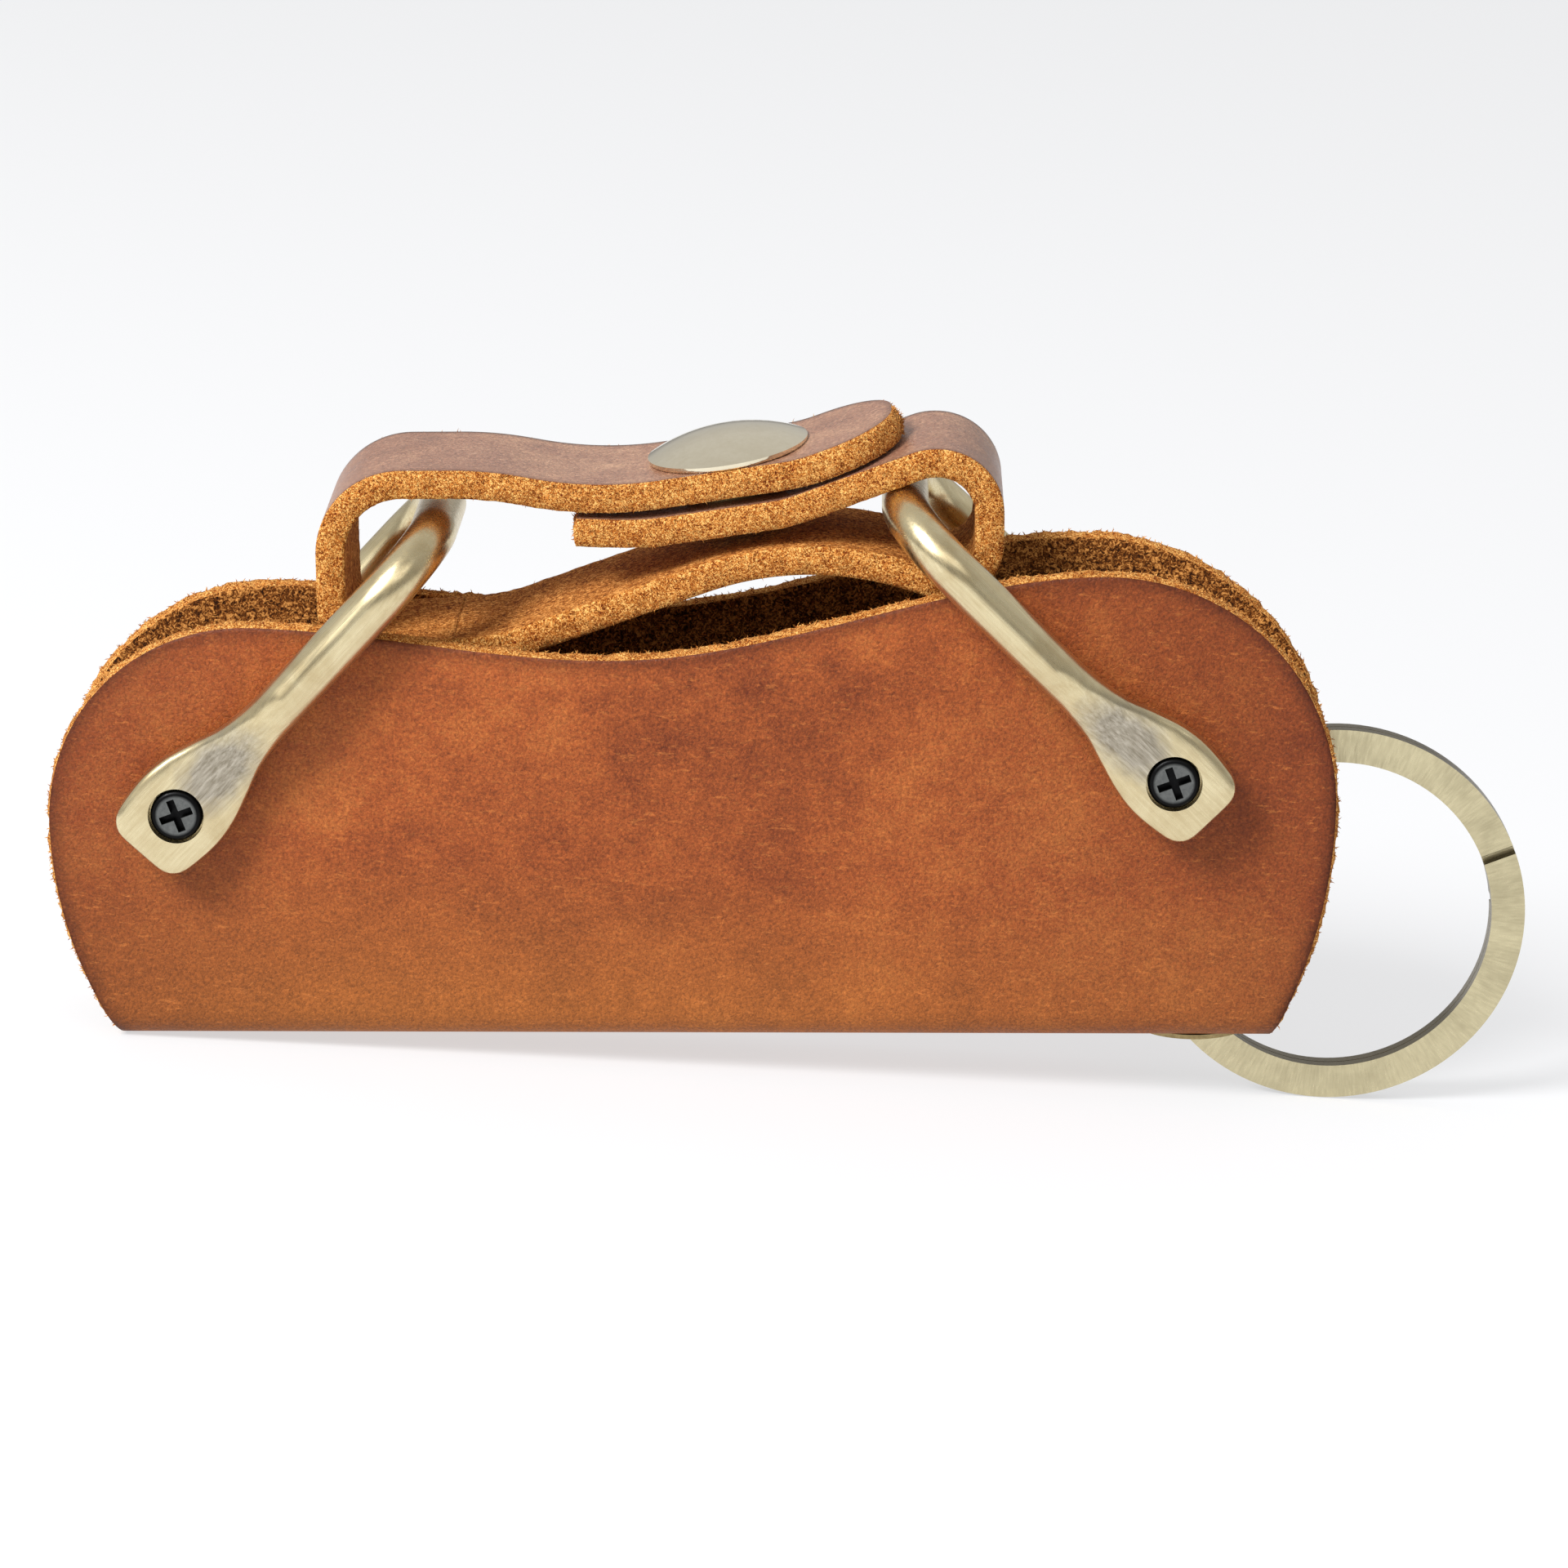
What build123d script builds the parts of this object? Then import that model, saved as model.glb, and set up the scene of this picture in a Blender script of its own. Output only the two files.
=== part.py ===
from build123d import *
from math import asin, atan2, cos, degrees, hypot, radians, sin
import os

# A leather key organiser. One hide cover is folded along its bottom edge into two flaps. Two
# threaded key posts cross between the flaps, one near each end, and a brass bow swings on the
# outside of each post. A leather strap loops through both bows and closes on a snap. A split
# ring hangs through an eyelet in the fold.
#
# Everything is drawn in the cover's own frame, in millimetres: X along the fold from its left
# corner, Y through the thickness (front is -Y), Z up from the underside of the fold. At the end
# the whole organiser is tilted until it stands on the fold's left corner and on the ring.

# ---- cover --------------------------------------------------------------------------------
hide = 1.8                 # thickness of the cover leather
fold_length = 89.4         # straight fold along the bottom
left_lobe_x = 11.0         # centre of the left lobe
left_lobe_z = 17.4
left_lobe_radius = 16.0
right_lobe_x = 75.7        # centre of the right lobe, which is the taller one
right_lobe_z = 19.0
right_lobe_radius = 18.4
dip_x = 41.5               # lowest point of the top edge between the lobes
dip_z = 31.3
fold_gap = 4.4             # half the clear space between the flaps along the fold and at the ends
mouth_bulge = 2.9          # how much further each flap bows out at the middle of the mouth
bulge_middle = 42.0        # where along the mouth the flaps bow out most
bulge_reach = 47.0         # distance from the middle at which the bulge has died out
bulge_height = 31.0        # height at which the bulge is full
fold_corner = 2.3          # outside radius of the two long edges of the fold

# ---- key posts and their hardware -----------------------------------------------------------
left_post_x = 5.3
left_post_z = 19.1
right_post_x = 81.45
right_post_z = 21.8
post_radius = 2.4
seat_rise = 0.5            # the pressed leather under an outer washer stands this far past the fold's side
washer_radius = 3.6
outer_washer = 0.8
inner_washer = 0.6
shank_radius = 1.5
screw_reach = 5.0          # length of shank below the screw's head
head_radius = 2.0
head_height = 1.2
recess_span = 2.6          # cross recess in the screw's head
recess_width = 0.6
recess_depth = 0.8
recess_turn = 20           # degrees from level
pivot_clearance = 0.05     # radial, between a bow's hole and the screw's shank
side_clearance = 0.05      # axial, on each face of a bow's paddle

# ---- bows -----------------------------------------------------------------------------------
wire = 3.6                 # diameter of the round part of a bow
arm = 28.9                 # key post to the middle of the crossbar
leg_reach = 2.15           # from the pressed leather's face out to the inner side of a bow's leg
bow_corner = 6.0           # radius of the bend from leg to crossbar, on the wire's centre line
paddle_thickness = 2.4
paddle_width = 7.7
paddle_end_width = 6.6
paddle_end = 4.2           # from the hole to the paddle's free end
paddle_corner = 1.5
counterbore_radius = 2.15
counterbore_depth = 1.35
left_bow_angle = 47.0      # above the fold, leaning in to the right
right_bow_angle = 44.9     # above the fold, leaning in to the left

# ---- strap ----------------------------------------------------------------------------------
strap_width = 12.0
strap_thickness = 2.2
strap_roll = 2.5           # the strap leans towards the front
tab_hinge_x = 36.0         # where the tab bends up when the snap is opened
tab_gap = 0.15             # between the tab's rounded root and the band
tab_tip_corner = 5.4

# ---- snap -----------------------------------------------------------------------------------
cap_radius = 6.2
cap_height = 1.9
cap_rim = 0.45
snap_x = 47.6              # along the strap
rivet_radius = 1.5
socket_radius = 4.4
knob_radius = 1.9
stud_flange_radius = 3.8
snap_sheet = 0.4           # thickness of the pressed sheet
knob_clearance = 0.3       # around the knob inside the socket
snap_clearance = 0.15      # above the knob and below the socket

# ---- eyelet and ring ------------------------------------------------------------------------
eyelet_x = 83.6
eyelet_hole = 2.95
eyelet_wall = 0.35
eyelet_flange = 4.6
eyelet_washer_radius = 3.8
eyelet_sheet = 0.35
ring_radius = 15.0
ring_band = 2.6            # radial width of the ring's flat wire
coil = 0.95                # thickness of one coil
coil_gap = 0.1
ring_x = 94.5
ring_z = 8.7
ring_slot_angle = 21.0     # end of the front coil, above the horizontal
ring_step = 16.0           # degrees over which the wire steps from one coil to the other
ring_slot = 0.7

fold_half = fold_gap + hide                    # half the outside thickness along the fold
seat_half = fold_half + seat_rise              # half the thickness under the outer washers
leg_half = seat_half + leg_reach + wire / 2    # half the distance between a bow's two legs


def half_thickness(x, z):
    """Half the outside thickness of the closed cover at a point of a flap."""
    rise = min(1.0, z / bulge_height)
    level = 3 * rise ** 2 - 2 * rise ** 3
    along = 1 - ((x - bulge_middle) / bulge_reach) ** 2
    return fold_half + mouth_bulge * level * max(0.0, along)


left_end = left_lobe_x - left_lobe_radius
right_end = right_lobe_x + right_lobe_radius
top = right_lobe_z + right_lobe_radius
big = 200.0


def standing(sketch, front, back):
    """Extrude a sketch drawn in X and Z from y = front to y = back."""
    return extrude(Plane.XZ.offset(-back) * sketch, amount=back - front)


def rod(x, z, radius, front, back):
    """A cylinder along Y."""
    return standing(Pos(x, z) * Circle(radius), front, back)


def both_sides(piece):
    """A front piece and its mirror image at the back."""
    return piece + mirror(piece, about=Plane.XZ)


# ---- cover ----------------------------------------------------------------------------------
def cover_outline():
    left_top = (left_lobe_x, left_lobe_z + left_lobe_radius)
    right_top = (right_lobe_x, right_lobe_z + right_lobe_radius)
    edges = Curve() + [
        Line((0, 0), (fold_length, 0)),
        TangentArc((right_end, right_lobe_z), (fold_length, 0), tangent=(0, -1)),
        CenterArc((right_lobe_x, right_lobe_z), right_lobe_radius, 0, 90),
        Spline(left_top, (dip_x, dip_z), right_top, tangents=((1, 0), (1, 0))),
        CenterArc((left_lobe_x, left_lobe_z), left_lobe_radius, 90, 90),
        TangentArc((left_end, left_lobe_z), (0, 0), tangent=(0, -1)),
    ]
    return make_face(edges)


def cover_block(inset, bottom, height, corner):
    """The solid between the two flaps' faces, from z = bottom up, with its long edges rounded."""
    ends = (left_end - 4, right_end + 4)
    stations = [ends[0] + (ends[1] - ends[0]) * i / 8 for i in range(9)]
    sections = []
    for step in range(5):
        z = bottom + (height - bottom) * step / 4
        front = [(x, inset - half_thickness(x, z)) for x in stations]
        back = [(x, -y) for x, y in front]
        loop = Curve() + [
            Spline(*front),
            Line(front[-1], back[-1]),
            Spline(*reversed(back)),
            Line(back[0], front[0]),
        ]
        sections.append(Plane.XY.offset(z) * make_face(loop))
    block = loft(sections)
    floor = block.faces().sort_by(Axis.Z)[0]
    return fillet(floor.edges().sort_by(SortBy.LENGTH)[-2:], corner)


def leather_cover():
    outside = cover_block(0, 0, top + 2, fold_corner)
    inside = cover_block(hide, hide, top + 6, fold_corner - hide)
    cover = (outside - inside) & standing(cover_outline(), -big, big)
    for x, z in posts:
        cover -= rod(x, z, post_radius, -big, big)
        cover -= both_sides(rod(x, z, washer_radius, -big, -seat_half))
        cover -= rod(x, z, washer_radius, -post_inside, post_inside)
    cover -= Pos(eyelet_x, 0, hide / 2) * Cylinder(eyelet_hole + eyelet_wall, 4 * hide)
    return cover


# ---- key posts ------------------------------------------------------------------------------
posts = ((left_post_x, left_post_z), (right_post_x, right_post_z))
post_inside = seat_half - hide * 0.85          # the pressed leather's inner face
post_end = seat_half + outer_washer
paddle_face = post_end + side_clearance        # inner face of a bow's paddle
paddle_outer = paddle_face + paddle_thickness
head_seat = paddle_outer - counterbore_depth + side_clearance   # underside of a screw's head


def key_post(x, z):
    post = rod(x, z, post_radius, -post_end, post_end)
    return post - rod(x, z, shank_radius, -big, big)


def inner_washers(x, z):
    washer = rod(x, z, washer_radius, -post_inside, -post_inside + inner_washer)
    return both_sides(washer - rod(x, z, post_radius, -big, big))


def outer_washers(x, z):
    washer = rod(x, z, washer_radius, -post_end, -seat_half)
    return both_sides(washer - rod(x, z, post_radius, -big, big))


def screw(x, z, side):
    """side is -1 for a front screw and 1 for a back one."""
    head = rod(x, z, head_radius, -head_seat - head_height, -head_seat)
    rim = head.faces().sort_by(Axis.Y)[0].edges()
    head = fillet(rim, head_height / 3)
    arms = Rectangle(recess_span, recess_width) + Rectangle(recess_width, recess_span)
    recess_floor = recess_depth - head_seat - head_height
    recess = standing(Pos(x, z) * Rot(0, 0, recess_turn) * arms, -big, recess_floor)
    body = head - recess + rod(x, z, shank_radius, -head_seat, -head_seat + screw_reach)
    return body if side < 0 else mirror(body, about=Plane.XZ)


# ---- bows -----------------------------------------------------------------------------------
def bow_flat():
    """A bow lying along +X from its key post, its legs apart in Y."""
    centre = -(paddle_face + paddle_thickness / 2)
    leg_start = 13.0
    end = -paddle_end
    wide = paddle_width / 2
    narrow = paddle_end_width / 2
    outline = Polyline((end, narrow), (0.5, wide), (2.2, wide), (2.2, -wide),
                       (0.5, -wide), (end, -narrow), close=True)
    plate = make_face(outline)
    corners = plate.vertices().sort_by(Axis.X)[:2]
    plate = standing(fillet(corners, paddle_corner), centre - paddle_thickness / 2,
                     centre + paddle_thickness / 2)
    plate = fillet(plate.faces().sort_by(Axis.Y)[0].edges().filter_by(
        lambda e: e.center().X < 2.1), 0.45)

    def section(x, width, thickness, y):
        shape = RectangleRounded(thickness, width, min(width, thickness) * 0.49)
        return Plane((x, y, 0), x_dir=(0, 1, 0), z_dir=(1, 0, 0)) * shape

    neck = loft([
        section(2.0, paddle_width - 0.1, paddle_thickness, centre),
        section(4.6, 6.1, paddle_thickness + 0.1, centre - 0.2),
        section(7.2, 4.3, (paddle_thickness + wire) / 2, centre - 0.75),
        section(10.0, wire + 0.05, wire - 0.1, (centre - leg_half) / 2 - 0.45),
        section(leg_start, wire, wire, -leg_half),
    ])
    start = Plane((leg_start, -leg_half, 0), z_dir=(1, 0, 0))
    path = FilletPolyline((leg_start, -leg_half), (arm, -leg_half), (arm, leg_half),
                          (leg_start, leg_half), radius=bow_corner)
    loop = sweep(start * Circle(wire / 2), path=path)
    hole = rod(0, 0, shank_radius + pivot_clearance, -big, 0)
    counterbore = rod(0, 0, counterbore_radius, -big, -paddle_outer + counterbore_depth)
    half = plate + neck - hole - counterbore
    return both_sides(half) + loop


def left_bow():
    return Pos(left_post_x, 0, left_post_z) * Rot(0, -left_bow_angle, 0) * bow_flat()


def right_bow():
    return Pos(right_post_x, 0, right_post_z) * Rot(0, right_bow_angle - 180, 0) * bow_flat()


def crossbar(side):
    """Centre of a bow's crossbar in X and Z, -1 for the left bow and 1 for the right."""
    if side < 0:
        a = radians(left_bow_angle)
        return left_post_x + arm * cos(a), left_post_z + arm * sin(a)
    a = radians(right_bow_angle)
    return right_post_x - arm * cos(a), right_post_z + arm * sin(a)


# ---- strap ----------------------------------------------------------------------------------
def strap_points():
    """Corners of the strap's centre line, tied to the crossbars, with the bend at each one.

    The strip starts at its hidden tail, runs right under the tab, round the right crossbar,
    back through the cover's mouth, up round the left crossbar and right again to its tip. Over
    the right crossbar the runs are stacked up from the wire, and elsewhere down from the tab.
    """
    lx, lz = crossbar(-1)
    rx, rz = crossbar(1)
    tail_z = lz + 2.7 - strap_thickness
    lower_z = lz + 4.1 - 2 * strap_thickness
    first_layer = (wire + strap_thickness) / 2
    second_layer = first_layer + strap_thickness
    turn_z = rz + 1.1 + first_layer
    return [
        ((tab_hinge_x, tail_z), None),
        ((41.0, tail_z - 0.15), 22),
        ((52.0, lz - 0.9 + first_layer), 12),
        ((rx + 1.6, turn_z), 4.0),
        ((rx + 6.4, turn_z - 0.1), 4.0),
        ((rx + 6.4, rz - 6.9), 3.3),
        ((53.5, lower_z), 24),
        ((lx + 4.6, lz - 8.9), 17),
        ((lx - 7.8, lz - 9.6), 3.6),
        ((lx - 7.8, lz + 4.2), 5.6),
        ((lx + 4.0, lz + 4.25), 28),
        ((37.6, lz + 2.75), 30),
        ((53.0, lz + second_layer), 14),
        ((rx - 0.7, rz + 0.7 + second_layer), None),
    ]


def strap_path(points):
    corners = [(x, z) for (x, z), bend in points]
    bends = [bend for (x, z), bend in points if bend]
    return FilletPolyline(*corners, radius=bends)


def strip(path):
    """Leather of the strap's width along a path drawn in X and Z."""
    upright = Plane.XZ * path
    start = Plane(upright @ 0, x_dir=(0, 1, 0), z_dir=upright % 0)
    return sweep(start * Rectangle(strap_width, strap_thickness), path=upright)


def rolled(shape):
    """Lean the strap and its snap towards the front, about a line along the strap's middle."""
    lx, lz = crossbar(-1)
    middle = lz - 3
    return Pos(0, 0, middle) * Rot(strap_roll, 0, 0) * Pos(0, 0, -middle) * shape


def upper_run(x):
    """Place along the centre line where the strap's upper run passes over x."""
    low, high = 0.72, 1.0
    while high - low > 1e-6:
        middle = (low + high) / 2
        if (strap_line @ middle).X < x:
            low = middle
        else:
            high = middle
    return low


def line_frame(at):
    """A frame on the centre line: X along the run, Y across the strap, Z out of its grain side."""
    point, run = strap_line @ at, strap_line % at
    return Pos(point.X, 0, point.Y) * Rot(0, -degrees(atan2(run.Y, run.X)), 0)


def tail_depth(axis):
    """Distance from the tab's upper face straight down the snap's axis to the tail's."""
    down = -Plane(axis).z_dir
    origin = axis.position
    low, high = 0.0, 0.25
    while high - low > 1e-6:
        middle = (low + high) / 2
        point = strap_line @ middle
        if (point.X - origin.X) * down.Z < (point.Y - origin.Z) * down.X:
            high = middle
        else:
            low = middle
    point = strap_line @ low
    return hypot(point.X - origin.X, point.Y - origin.Z) - strap_thickness / 2


strap_line = strap_path(strap_points())
hinge_frame = line_frame(upper_run(tab_hinge_x))
snap_frame = line_frame(upper_run(snap_x)) * Pos(0, 0, strap_thickness / 2)
tail_gap = tail_depth(snap_frame)


def strap_pieces():
    """The strap parted at the tab's bend: the band, and the tab with a rounded root."""
    leather = strip(strap_line)
    tip = leather.faces().sort_by_distance((Plane.XZ * Pos(strap_line @ 1)).position)[0]
    leather = fillet(tip.edges().sort_by(SortBy.LENGTH)[:2], tab_tip_corner)
    root = strap_thickness / 2
    knuckle = hinge_frame * Rot(90, 0, 0) * Cylinder(root, strap_width)
    cutter = hinge_frame * Pos(-(root + tab_gap) / 2, 0, 0) * Box(
        root + tab_gap, 2 * strap_width, strap_thickness * 1.5)
    pieces = (leather - (cutter - knuckle)).solids().sort_by(SortBy.VOLUME)
    return pieces[-1], pieces[-2]


def strap_band(band):
    seat = -tail_gap - strap_thickness / 2
    band -= snap_frame * Pos(0, 0, seat) * Cylinder(rivet_radius, 2 * strap_thickness)
    return rolled(band)


def strap_tab(tab):
    tab -= snap_frame * Cylinder(rivet_radius, 3 * strap_thickness)
    tab -= snap_frame * Pos(0, 0, -strap_thickness) * Cylinder(socket_radius, 2 * socket_sunk)
    return rolled(tab)


# ---- snap -----------------------------------------------------------------------------------
socket_sunk = 1.0          # how deep the socket is pressed into the tab
socket_roof = socket_sunk - strap_thickness
socket_floor = snap_sheet / 2 - tail_gap + snap_clearance
knob_top = socket_roof - snap_sheet - snap_clearance


def upward(radius, low, high):
    """A disc or tube blank standing on the snap's axis."""
    base = Pos(0, 0, low) * Circle(radius)
    return extrude(base, amount=high - low)


def snap_cap():
    dome_radius = (cap_radius ** 2 + (cap_height - cap_rim) ** 2) / (2 * (cap_height - cap_rim))
    ball = Pos(0, 0, cap_height - dome_radius) * Sphere(dome_radius)
    cap = ball & upward(cap_radius, cap_rim, cap_height)
    cap += upward(cap_radius, 0, cap_rim)
    cap = fillet(cap.edges().filter_by(GeomType.CIRCLE).sort_by(Axis.Z)[0], cap_rim * 0.6)
    cap += upward(rivet_radius, socket_roof - snap_sheet, 0)
    return rolled(snap_frame * cap)


def snap_socket():
    socket = upward(socket_radius, socket_floor, socket_roof)
    socket = fillet(socket.edges().filter_by(GeomType.CIRCLE), 0.3)
    socket -= upward(knob_radius + knob_clearance, socket_floor, socket_roof - snap_sheet)
    socket -= upward(rivet_radius, socket_roof - snap_sheet, socket_roof)
    return rolled(snap_frame * socket)


def snap_stud():
    stud = upward(stud_flange_radius, -tail_gap, snap_sheet / 2 - tail_gap)
    knob = upward(knob_radius, -tail_gap, knob_top)
    stud += fillet(knob.faces().sort_by(Axis.Z)[-1].edges(), 0.4)
    return rolled(snap_frame * stud)


def snap_rivet():
    seat = -tail_gap
    rivet = upward(rivet_radius, seat - strap_thickness, seat)
    rivet += upward(stud_flange_radius, seat - strap_thickness - snap_sheet, seat - strap_thickness)
    return rolled(snap_frame * rivet)


# ---- eyelet and ring ------------------------------------------------------------------------
def eyelet():
    tube = Pos(eyelet_x, 0) * Circle(eyelet_hole + eyelet_wall)
    flange = Pos(eyelet_x, 0, -eyelet_sheet) * Circle(eyelet_flange)
    body = extrude(tube, amount=hide + eyelet_sheet) + extrude(flange, amount=eyelet_sheet)
    bore = Pos(eyelet_x, 0, hide / 2) * Cylinder(eyelet_hole, 6 * hide)
    body -= bore
    lips = body.edges().filter_by(GeomType.CIRCLE).filter_by(
        lambda e: abs(e.radius - eyelet_hole) < 0.01)
    return fillet(lips, eyelet_wall * 0.7)


def eyelet_washer():
    washer = Pos(eyelet_x, 0, hide) * Circle(eyelet_washer_radius)
    body = extrude(washer, amount=eyelet_sheet)
    return body - Pos(eyelet_x, 0, hide) * Cylinder(eyelet_hole + eyelet_wall, 6 * hide)


def key_ring():
    band = Circle(ring_radius) - Circle(ring_radius - ring_band)
    front = standing(band, -coil - coil_gap / 2, -coil_gap / 2)
    back = standing(band, coil_gap / 2, coil + coil_gap / 2)

    def sector(start, sweep_angle):
        reach = ring_radius * 1.2
        edge = [(0, 0)]
        for angle in (start, start + sweep_angle / 2, start + sweep_angle):
            edge.append((reach * cos(radians(angle)), reach * sin(radians(angle))))
        return make_face(Polyline(*edge, close=True))

    step = standing(band & sector(ring_slot_angle - ring_step, ring_step),
                    -coil - coil_gap / 2, coil + coil_gap / 2)
    slot = Rot(0, 0, ring_slot_angle) * Pos(ring_radius, 0) * Rectangle(ring_radius, ring_slot)
    other = Rot(0, 0, ring_slot_angle - ring_step) * Pos(ring_radius, 0) * Rectangle(
        ring_radius, ring_slot)
    ring = front + back + step
    ring -= standing(slot, -big, 0)
    ring -= standing(other, 0, big)
    return Pos(ring_x, 0, ring_z) * ring


# ---- standing pose --------------------------------------------------------------------------
# The fold's left corner and the ring's lowest point touch the same level surface.
ring_distance = hypot(ring_x, ring_z)
tilt = degrees(asin(ring_radius / ring_distance) - atan2(ring_z, ring_x))

band_leather, tab_leather = strap_pieces()
nodes = {
    "leather_cover": leather_cover(),
    "eyelet": eyelet(),
    "eyelet_washer": eyelet_washer(),
    "left_key_post": key_post(*posts[0]),
    "right_key_post": key_post(*posts[1]),
    "left_inner_washers": inner_washers(*posts[0]),
    "right_inner_washers": inner_washers(*posts[1]),
    "left_outer_washers": outer_washers(*posts[0]),
    "right_outer_washers": outer_washers(*posts[1]),
    "left_front_screw": screw(*posts[0], -1),
    "left_back_screw": screw(*posts[0], 1),
    "right_front_screw": screw(*posts[1], -1),
    "right_back_screw": screw(*posts[1], 1),
    "left_bow": left_bow(),
    "right_bow": right_bow(),
    "strap_band": strap_band(band_leather),
    "strap_tab": strap_tab(tab_leather),
    "snap_cap": snap_cap(),
    "snap_socket": snap_socket(),
    "snap_stud": snap_stud(),
    "snap_rivet": snap_rivet(),
    "key_ring": key_ring(),
}

stand = Rot(0, -tilt, 0)
box = Compound(children=[stand * shape for shape in nodes.values()]).bounding_box()
stand = Pos(-box.center().X, -box.center().Y, -box.min.Z) * stand

os.makedirs("parts", exist_ok=True)
for name, shape in nodes.items():
    export_step(stand * shape, f"parts/{name}.step")


def stand_point(x, z, y=0.0):
    """A point of the cover's frame after the organiser is stood up."""
    return (stand * Pos(x, y, z)).position


print("tilt", round(tilt, 3), "size", box.size)
for name, (x, z) in {
    "left_post": posts[0],
    "right_post": posts[1],
    "left_crossbar": crossbar(-1),
    "right_crossbar": crossbar(1),
    "eyelet": (eyelet_x, hide / 2),
}.items():
    print(name, stand_point(x, z))
hinge_point = rolled(hinge_frame).position
print("tab_hinge", stand_point(hinge_point.X, hinge_point.Z, hinge_point.Y))
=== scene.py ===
# %% [markdown]
# # A leather key organiser
# A folded leather cover holds keys on two screw posts. A brass bow hangs on the ends of each post,
# a snapped leather strap joins the two bows, and a split ring goes through the fold.
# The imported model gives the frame: every metal part keeps its place, and the leather is made again
# here as real hide, with a grain side, a rough flesh side and a cut edge.

# %% Load the frame
import math
import random

import bmesh
import bpy
from mathutils import Matrix, Vector, kdtree, noise


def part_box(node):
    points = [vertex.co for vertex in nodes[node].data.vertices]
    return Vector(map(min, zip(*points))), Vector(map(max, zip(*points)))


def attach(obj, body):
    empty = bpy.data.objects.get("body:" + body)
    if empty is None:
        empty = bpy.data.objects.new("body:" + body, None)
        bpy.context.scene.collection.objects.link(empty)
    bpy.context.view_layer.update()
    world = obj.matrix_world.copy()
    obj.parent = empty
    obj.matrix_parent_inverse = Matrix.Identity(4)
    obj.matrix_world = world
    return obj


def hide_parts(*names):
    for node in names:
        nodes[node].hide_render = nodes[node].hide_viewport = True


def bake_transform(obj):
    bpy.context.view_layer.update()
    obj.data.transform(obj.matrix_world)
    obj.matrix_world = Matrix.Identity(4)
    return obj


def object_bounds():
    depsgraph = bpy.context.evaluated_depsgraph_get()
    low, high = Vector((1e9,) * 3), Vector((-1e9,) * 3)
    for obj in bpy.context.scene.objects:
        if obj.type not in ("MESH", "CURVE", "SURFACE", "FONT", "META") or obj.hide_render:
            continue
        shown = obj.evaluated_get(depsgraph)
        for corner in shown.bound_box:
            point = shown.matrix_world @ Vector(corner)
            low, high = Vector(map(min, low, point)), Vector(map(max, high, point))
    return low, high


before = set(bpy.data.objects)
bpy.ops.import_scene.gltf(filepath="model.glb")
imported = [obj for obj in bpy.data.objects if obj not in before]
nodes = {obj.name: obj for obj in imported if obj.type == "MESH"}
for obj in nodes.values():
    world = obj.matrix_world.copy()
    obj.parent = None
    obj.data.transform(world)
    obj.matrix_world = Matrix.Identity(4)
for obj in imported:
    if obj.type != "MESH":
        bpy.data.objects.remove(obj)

MM = 0.001
cad_box = [list(corner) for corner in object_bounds()]
print("CAD nodes:", len(nodes), "box in mm:", [[round(c / MM, 2) for c in p] for p in cad_box])

# %% [markdown]
# ## The cover's own frame
# The organiser leans on its ring, so its fold isn't level. The leather is easier to draw level, in
# millimetres: u along the fold from its left corner, y to the back and v up from the fold. The two
# key posts are known in both frames, and so they give the lean and the shift between them.

# %% Find the lean of the cover
LEFT_POST = Vector((5.3, 19.1))
RIGHT_POST = Vector((81.45, 21.8))


def centre(name):
    low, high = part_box(name)
    return (low + high) / 2


left_axis, right_axis = centre("left_key_post"), centre("right_key_post")
flat_run, leaning_run = RIGHT_POST - LEFT_POST, right_axis - left_axis
lean = math.atan2(leaning_run.z, leaning_run.x) - math.atan2(flat_run.y, flat_run.x)


def turned(u, v):
    return Vector((u * math.cos(lean) - v * math.sin(lean), 0, u * math.sin(lean) + v * math.cos(lean)))


shift = left_axis - turned(*LEFT_POST) * MM


def place(u, y, v):
    """A point of the cover's frame, in millimetres, in the row frame, in metres."""
    return turned(u, v) * MM + Vector((0, y * MM, 0)) + shift


print("the fold leans", round(math.degrees(lean), 3), "degrees")

# %% [markdown]
# ## Camera, floor and light
# The view is a low one from the front with a long lens, rolled until the fold looks level. The set
# is a plain pale floor under a soft sky that is brighter overhead, with one broad lamp high on the
# left and a long strip in front. Brass shows the shape of what it mirrors, so the sky's darker rim is
# what draws its edges. The floor glows a little, which keeps it pale and its shadow light.

# %% Camera
ELEVATION = math.radians(15.6)
ROLL = math.radians(3.8)
DISTANCE = 0.42
TARGET = Vector((-1.05, 0, 22.4)) * MM

back = Vector((0, -math.cos(ELEVATION), math.sin(ELEVATION)))
level_up = Vector((0, math.sin(ELEVATION), math.cos(ELEVATION)))
right = math.cos(ROLL) * Vector((1, 0, 0)) + math.sin(ROLL) * level_up
up = back.cross(right)

camera_data = bpy.data.cameras.new("camera")
camera_data.lens = 123.6
camera_data.sensor_width = 36
camera_data.clip_start = 0.01
camera = bpy.data.objects.new("camera", camera_data)
bpy.context.scene.collection.objects.link(camera)
axes = Matrix((right, up, back)).transposed().to_4x4()
camera.matrix_world = Matrix.Translation(TARGET + back * DISTANCE) @ axes
bpy.context.scene.camera = camera
bpy.context.scene.view_settings.view_transform = "Standard"
print("camera stands", round(DISTANCE / MM), "mm away")

# %% Node helpers


def add(tree, kind, inputs=None, **settings):
    """A shader node with its settings; an input is a value or the socket that feeds it."""
    made = tree.nodes.new("ShaderNode" + kind)
    for name, value in settings.items():
        setattr(made, name, value)
    for name, value in (inputs or {}).items():
        if isinstance(value, bpy.types.NodeSocket):
            tree.links.new(value, made.inputs[name])
        else:
            made.inputs[name].default_value = value
    return made


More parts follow.
